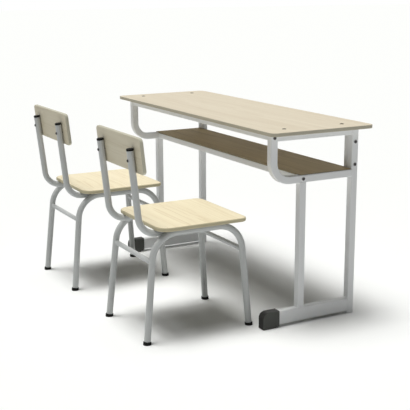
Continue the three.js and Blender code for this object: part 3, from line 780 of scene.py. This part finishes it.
rear_lean, rear_length = leg_line(rear_foot, rear_bend)
front_lean, front_length = leg_line(front_foot, front_bend)
sole = 4
rear_heading = quarter - rear_lean
loop_path = bent_path(
    sole * math.cos(rear_heading) - rear_foot, sole * math.sin(rear_heading) - loop_drop, rear_heading,
    rear_length - sole, (-rear_heading, loop_bend), rear_bend + front_bend,
    (front_lean - quarter, loop_bend), front_length - sole)
run_start, run_length = 70, 222
back_lean, upright_top, upright_bend = math.radians(6.2), 624, 60
upright_rise = upright_top - run_z - upright_bend * (1 - math.sin(back_lean))
upright_path = bent_path(run_start, run_z, math.pi, run_length, (back_lean - quarter, upright_bend),
                         upright_rise / math.cos(back_lean))
crossbar, crossbar_wall, crossbar_z, crossbar_bite, crossbar_sides = 8, 1.2, 265, 4, 24
crossbar_rows = {"rear": (crossbar_z * math.tan(rear_lean) - rear_foot, rear_lean),
                 "front": (front_foot - crossbar_z * math.tan(front_lean), -front_lean)}
leg_x = loop_x + (run_z - crossbar_z) * math.tan(splay)
tube_skins = round_ring(chair_tube), round_ring(chair_tube - chair_wall)
crossbar_skins = (round_ring(crossbar, crossbar_sides),
                  round_ring(crossbar - crossbar_wall, crossbar_sides))
groove_welds, groove_reach, groove_rise, groove_bead = (-118, -30, 50), 14, 5, 2.2
crossbar_bead, bead_step, bead_stand = 1.2, 1.2, 0.3
chairs = []
for chair in ("left_chair", "right_chair"):
    low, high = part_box(f"{chair}_seat")
    chairs.append((chair, Matrix.Translation((0.5 / mm * (low.x + high.x), 0.5 / mm * (low.y + high.y), 0))))
for chair, middle in chairs:
    welds = bmesh.new()
    for side, hand in hands:
        shape = bmesh.new()
        tilt = Matrix.Translation((side * loop_x, 0, run_z)) @ Matrix.Rotation(-side * splay, 4, "Y")
        hollow(shape, loop_path, *tube_skins, middle @ tilt)
        add_piece(f"{chair}_{hand}_bent_legs", shape, [chair_coat], chair, "frame",
                  f"{chair}_{hand}_leg_loop")

        shape = bmesh.new()
        hollow(shape, upright_path, *tube_skins, middle @ Matrix.Translation((side * upright_x, 0, 0)))
        add_piece(f"{chair}_{hand}_back_tube", shape, [chair_coat], chair, "frame",
                  f"{chair}_{hand}_upright")

        # Runs of weld in the grooves between the upright and its loop
        groove = side * (upright_x + loop_x) / 2
        for y in groove_welds:
            for z in (run_z - groove_rise, run_z + groove_rise):
                ends = [middle @ Vector((groove, y + reach, z)) for reach in (-groove_reach, groove_reach)]
                bead(welds, ends, Vector((0, 0, 1)), groove_bead, closed=False)

    for row, (y, lean) in crossbar_rows.items():
        shape = bmesh.new()
        half = leg_x - chair_tube + crossbar_bite
        bar(shape, 2 * half, *crossbar_skins, middle @ Matrix.Translation((-half, y, crossbar_z)) @ along_x)
        add_piece(f"{chair}_{row}_crossbar", shape, [chair_coat], chair, "frame", f"{chair}_{row}_stretcher")
        for side in (-1, 1):
            points = []
            for offset, height in round_ring(crossbar + bead_stand, crossbar_sides):
                gap = offset * math.cos(lean) - height * math.sin(lean)
                reach = leg_x - math.sqrt(chair_tube ** 2 - gap ** 2) - height * math.tan(splay)
                points.append(middle @ Vector((side * reach, y + offset, crossbar_z + height)))
            bead(welds, points, Vector((1, 0, 0)), crossbar_bead, bead_step)
    add_piece(f"{chair}_welds", welds, [chair_coat], chair, "frame")

# The chairs' plastic: a black cup on each foot, cut flat where it stands, a domed black plug in the
# top of each upright, and a flat black plug in the end of its run under the seat.
black_plastic = grouped_material(
    "black_plastic", surface_skin,
    {"Color": (0.010, 0.010, 0.009), "Tone": 0.3, "Skin Scale": 1500.0, "Roughness": 0.5,
     "Roughness Spread": 0.15}, 0.3, 0.0002, specular=0.08)


def eased_rim(size, height, radius, parts):
    """The steps of a turned profile from its side over a rounded rim to its top."""
    turns = [quarter * k / parts for k in range(parts + 1)]
    return [("round", size - radius * (1 - math.cos(turn)), height - radius * (1 - math.sin(turn)))
            for turn in turns]


cup, cup_height, cup_edge = 13.3, 10, 1.2
cup_profile = [("round", cup, -cup_height)] + eased_rim(cup, cup_height, cup_edge, 3)
cup_profile += [("round", chair_tube + seam, cup_height), ("round", chair_tube + seam, sole)]
plug_rim, plug_height, plug_edge, plug_crown, plug_stem, plug_depth = 11.6, 7, 2.4, 5, 8.4, 16
plug_profile = [("round", plug_stem, -plug_depth), ("round", plug_stem, seam), ("round", plug_rim, seam)]
plug_profile += eased_rim(plug_rim, plug_height, plug_edge, 5) + [("round", plug_crown, plug_height)]
end_stem, end_depth, end_rim, end_height, end_edge, end_gap = 8.9, 10, 10.6, 2, 0.6, 0.05
end_profile = [("round", end_stem, -end_depth), ("round", end_stem, 0), ("round", end_rim, end_gap),
               ("round", end_rim, end_height - end_edge), ("round", end_rim - end_edge, end_height)]
top_y, top_z = upright_path[-1][:2]
foot_rows = {"rear": (-rear_foot, rear_lean), "front": (front_foot, -front_lean)}
for chair, middle in chairs:
    end_plugs = bmesh.new()
    for side, hand in hands:
        for row, (y, lean) in foot_rows.items():
            shape = bmesh.new()
            stand = Matrix.Translation((side * foot_x, y, 0)) @ Matrix.Rotation(-side * splay, 4, "Y")
            turned(shape, cup_profile, middle @ stand @ Matrix.Rotation(-lean, 4, "X"), round_sides)
            floor_cut = bmesh.ops.bisect_plane(
                shape, geom=shape.verts[:] + shape.edges[:] + shape.faces[:], plane_co=(0, 0, 0),
                plane_no=(0, 0, 1), clear_inner=True)
            rim = [edge for edge in floor_cut["geom_cut"] if isinstance(edge, bmesh.types.BMEdge)]
            bmesh.ops.contextual_create(shape, geom=rim)
            add_piece(f"{chair}_{hand}_{row}_foot_cup", shape, [black_plastic], chair, "plug_and_foot",
                      f"{chair}_{hand}_{row}_foot")

        shape = bmesh.new()
        crown = Matrix.Translation((side * upright_x, top_y, top_z)) @ Matrix.Rotation(back_lean, 4, "X")
        turned(shape, plug_profile, middle @ crown, round_sides)
        add_piece(f"{chair}_{hand}_top_plug", shape, [black_plastic], chair, "plug_and_foot",
                  f"{chair}_{hand}_upright_plug")
        mouth = Matrix.Translation((side * upright_x, run_start, run_z)) @ along_y
        turned(end_plugs, end_profile, middle @ mouth, round_sides)
    add_piece(f"{chair}_run_end_plugs", end_plugs, [black_plastic], chair, "plug_and_foot")

# The seats: 13 mm plywood with a warm pale face, its corners rounded, more so at the rear, and its
# arrises rounded over. Screws from below hold each seat to the runs of its uprights.
seat_face = grouped_material(
    "seat_veneer", board_grain,
    {"Color": (0.89, 0.80, 0.57), "Line Color": (0.62, 0.49, 0.28), "Streaks": 0.22,
     "Lines": 0.42, "Pores": 0.22, "Roughness": 0.5}, 0.15, 0.0002, specular=0.25)
seat_edge = grouped_material(
    "seat_ply_edge", ply_edge,
    {"Color": (0.62, 0.56, 0.37), "End Grain Color": (0.33, 0.28, 0.16)}, 0.3, 0.0002)
seat_backing = grouped_material(
    "seat_backing_veneer", board_grain,
    {"Color": (0.48, 0.46, 0.41), "Line Color": (0.38, 0.35, 0.30), "Streaks": 0.3,
     "Lines": 0.3, "Pores": 0.3, "Roughness": 0.7}, 0.25, 0.0002, specular=0.12)
seat_width, seat_depth, seat_thickness, seat_arris, seat_steps = 341, 322, 13, 4, 12
seat_rear_corner, seat_front_corner = 42, 28
seat_screw_rows, seat_screw = (-110, 40), button_head(4.5, 2.4, 0, 2, 30)
for chair, middle in chairs:
    shape = board(seat_width, seat_depth, seat_thickness, seat_rear_corner, seat_front_corner, seat_arris,
                  seat_steps)
    shift(shape, middle @ Matrix.Translation((0, 0, seat_under + seat_thickness / 2)))
    add_piece(f"{chair}_seat_panel", shape, [seat_face, seat_edge, seat_backing], chair, "chair_board",
              f"{chair}_seat")

    shape = bmesh.new()
    for side in (-1, 1):
        for y in seat_screw_rows:
            below = Matrix.Translation((side * upright_x, y, run_z - chair_tube))
            turned(shape, seat_screw, middle @ below @ Matrix.Rotation(math.pi, 4, "X"))
    add_piece(f"{chair}_seat_screws", shape, [bright_plate], chair, "fastener")

# The backrests: 12 mm plywood in front of the uprights, held by a dark bolt through each of them.
# Their backs take a darker, greyer copy of the veneer than their fronts, which have the seats' veneer; that
# darker back is painted shade.
backrest_width, backrest_height, backrest_thickness = 345, 115, 12
backrest_corner, backrest_arris, back_gap, backrest_drop, bolt_drop = 14, 2.5, 0.9, 16, 30
back_bolt = button_head(5, 3, 0, 2.5, 30)
lay_up = (0.0, math.cos(back_lean), math.sin(back_lean))
# A darker copy of the seats' veneer for the backs of the backrests: painted shade
backrest_painted_shade_face = grouped_material(
    "backrest_painted_shade_veneer", board_grain,
    {"Color": (0.70, 0.645, 0.49), "Line Color": (0.50, 0.42, 0.27), "Streaks": 0.25,
     "Lines": 0.30, "Pores": 0.22, "Roughness": 0.5}, 0.15, 0.0002, specular=0.25)
backrest_edge = grouped_material(
    "backrest_ply_edge", ply_edge,
    {"Color": (0.62, 0.60, 0.47), "End Grain Color": (0.35, 0.32, 0.24), "Lay Up": lay_up}, 0.3, 0.0002)


def beside_upright(below, behind):
    """A place so far below an upright's top along the tube, and so far behind its axis."""
    sine, cosine = math.sin(back_lean), math.cos(back_lean)
    return top_y + below * sine - behind * cosine, top_z - below * cosine - behind * sine


facing_back = Matrix.Rotation(quarter + back_lean, 4, "X")
in_front = -(chair_tube + back_gap + backrest_thickness / 2)
for chair, middle in chairs:
    shape = board(backrest_width, backrest_height, backrest_thickness, backrest_corner, backrest_corner,
                  backrest_arris)
    shift(shape, middle @ Matrix.Translation((0, *beside_upright(backrest_drop, in_front))) @ facing_back)
    add_piece(f"{chair}_back_panel", shape, [backrest_painted_shade_face, backrest_edge, seat_face], chair, "chair_board",
              f"{chair}_backrest")
    for side, hand in hands:
        shape = bmesh.new()
        bolt_place = Matrix.Translation((side * upright_x, *beside_upright(bolt_drop, chair_tube)))
        turned(shape, back_bolt, middle @ bolt_place @ facing_back)
        add_piece(f"{chair}_{hand}_back_bolt", shape, [dark_plate], chair, "fastener",
                  f"{chair}_{hand}_backrest_bolt")

low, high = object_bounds()
